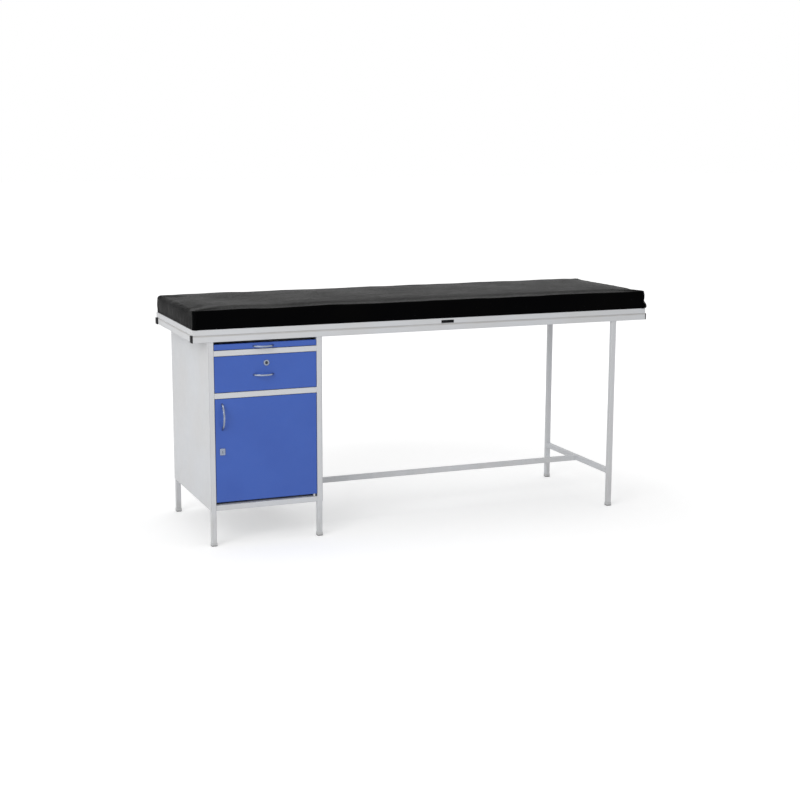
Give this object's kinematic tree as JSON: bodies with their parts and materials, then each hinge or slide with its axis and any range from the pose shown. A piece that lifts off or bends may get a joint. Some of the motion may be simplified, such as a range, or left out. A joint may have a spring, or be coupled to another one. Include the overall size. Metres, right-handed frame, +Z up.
{
  "type": "examination table with cabinet",
  "caption": "Padded examination table on a square-tube steel frame, with a cabinet under one end that holds a pull-out tray, a lockable drawer and a lockable cupboard door.",
  "frame": {"origin": "on the floor, under the middle of the whole table's box", "axes": "+X along the table away from the cabinet, +Y from the drawer fronts to the back, +Z up"},
  "size_m": [1.84, 0.5824, 0.862],
  "materials": {
    "white_powder_coat": "satin",
    "blue_powder_coat": "satin",
    "black_leatherette": "satin",
    "foam": "matte",
    "plywood": "matte",
    "black_plastic": "matte",
    "grey_plastic": "matte",
    "white_nylon": "satin",
    "chrome_plate": "polished",
    "zinc_steel": "satin"
  },
  "bodies": {
    "frame": {"front_top_tube": "white_powder_coat", "rear_top_tube": "white_powder_coat", "left_end_tube": "white_powder_coat", "right_end_tube": "white_powder_coat", "top_cross_tubes": "white_powder_coat", "tube_end_plugs": "black_plastic", "top_sheet": "white_powder_coat", "top_stiffeners": "white_powder_coat", "name_plate": "black_plastic", "pad_screws": "zinc_steel", "pad_cover": "black_leatherette", "pad_foam": "foam", "pad_board": "plywood", "left_front_leg": "white_powder_coat", "left_rear_leg": "white_powder_coat", "middle_front_leg": "white_powder_coat", "middle_rear_leg": "white_powder_coat", "right_front_leg": "white_powder_coat", "right_rear_leg": "white_powder_coat", "foot_plugs": "grey_plastic", "right_crossbar": "white_powder_coat", "stretcher": "white_powder_coat", "left_side_panel": "white_powder_coat", "right_side_panel": "white_powder_coat", "back_panel": "white_powder_coat", "cabinet_floor": "white_powder_coat", "upper_front_rail": "white_powder_coat", "middle_front_rail": "white_powder_coat", "bottom_front_rail": "white_powder_coat", "bottom_rails": "white_powder_coat", "tray_runners": "white_powder_coat", "drawer_runners": "white_powder_coat", "door_bushes": "white_nylon", "door_stops": "white_powder_coat"},
    "tray": {"tray_pan": "white_powder_coat", "tray_front": "blue_powder_coat", "tray_rivets": "zinc_steel", "tray_handle": "chrome_plate", "tray_handle_screws": "zinc_steel"},
    "drawer": {"drawer_floor": "white_powder_coat", "drawer_walls": "white_powder_coat", "drawer_front": "blue_powder_coat", "drawer_rivets": "zinc_steel", "drawer_handle": "chrome_plate", "drawer_handle_screws": "zinc_steel", "drawer_lock_body": "chrome_plate", "drawer_lock_nut": "zinc_steel"},
    "drawer_lock": {"drawer_lock_plug": "chrome_plate", "drawer_lock_cam": "zinc_steel", "drawer_lock_screw": "zinc_steel"},
    "door": {"door_panel": "blue_powder_coat", "door_liner": "white_powder_coat", "door_handle": "chrome_plate", "door_handle_screws": "zinc_steel", "door_pivot_pins": "zinc_steel", "door_lock_body": "chrome_plate", "door_lock_nut": "zinc_steel"},
    "door_lock": {"door_lock_plug": "chrome_plate", "door_lock_cam": "zinc_steel", "door_lock_screw": "zinc_steel"}
  },
  "joints": [
    {"name": "tray_slide", "type": "slide", "parent": "frame", "child": "tray", "axis": [0, -1, 0], "range_m": [0, 0.33]},
    {"name": "drawer_slide", "type": "slide", "parent": "frame", "child": "drawer", "axis": [0, -1, 0], "range_m": [0, 0.36]},
    {"name": "door_hinge", "type": "hinge", "parent": "frame", "child": "door", "pos_m": [-0.466, -0.25425, 0.35125], "axis": [0, 0, 1], "range_deg": [0, 110]},
    {"name": "drawer_lock_turn", "type": "hinge", "parent": "drawer", "child": "drawer_lock", "pos_m": [-0.646, -0.26125, 0.6635], "axis": [0, -1, 0], "range_deg": [0, 90]},
    {"name": "door_lock_turn", "type": "hinge", "parent": "door", "child": "door_lock", "pos_m": [-0.814, -0.26125, 0.3485], "axis": [0, 1, 0], "range_deg": [0, 90]}
  ]
}
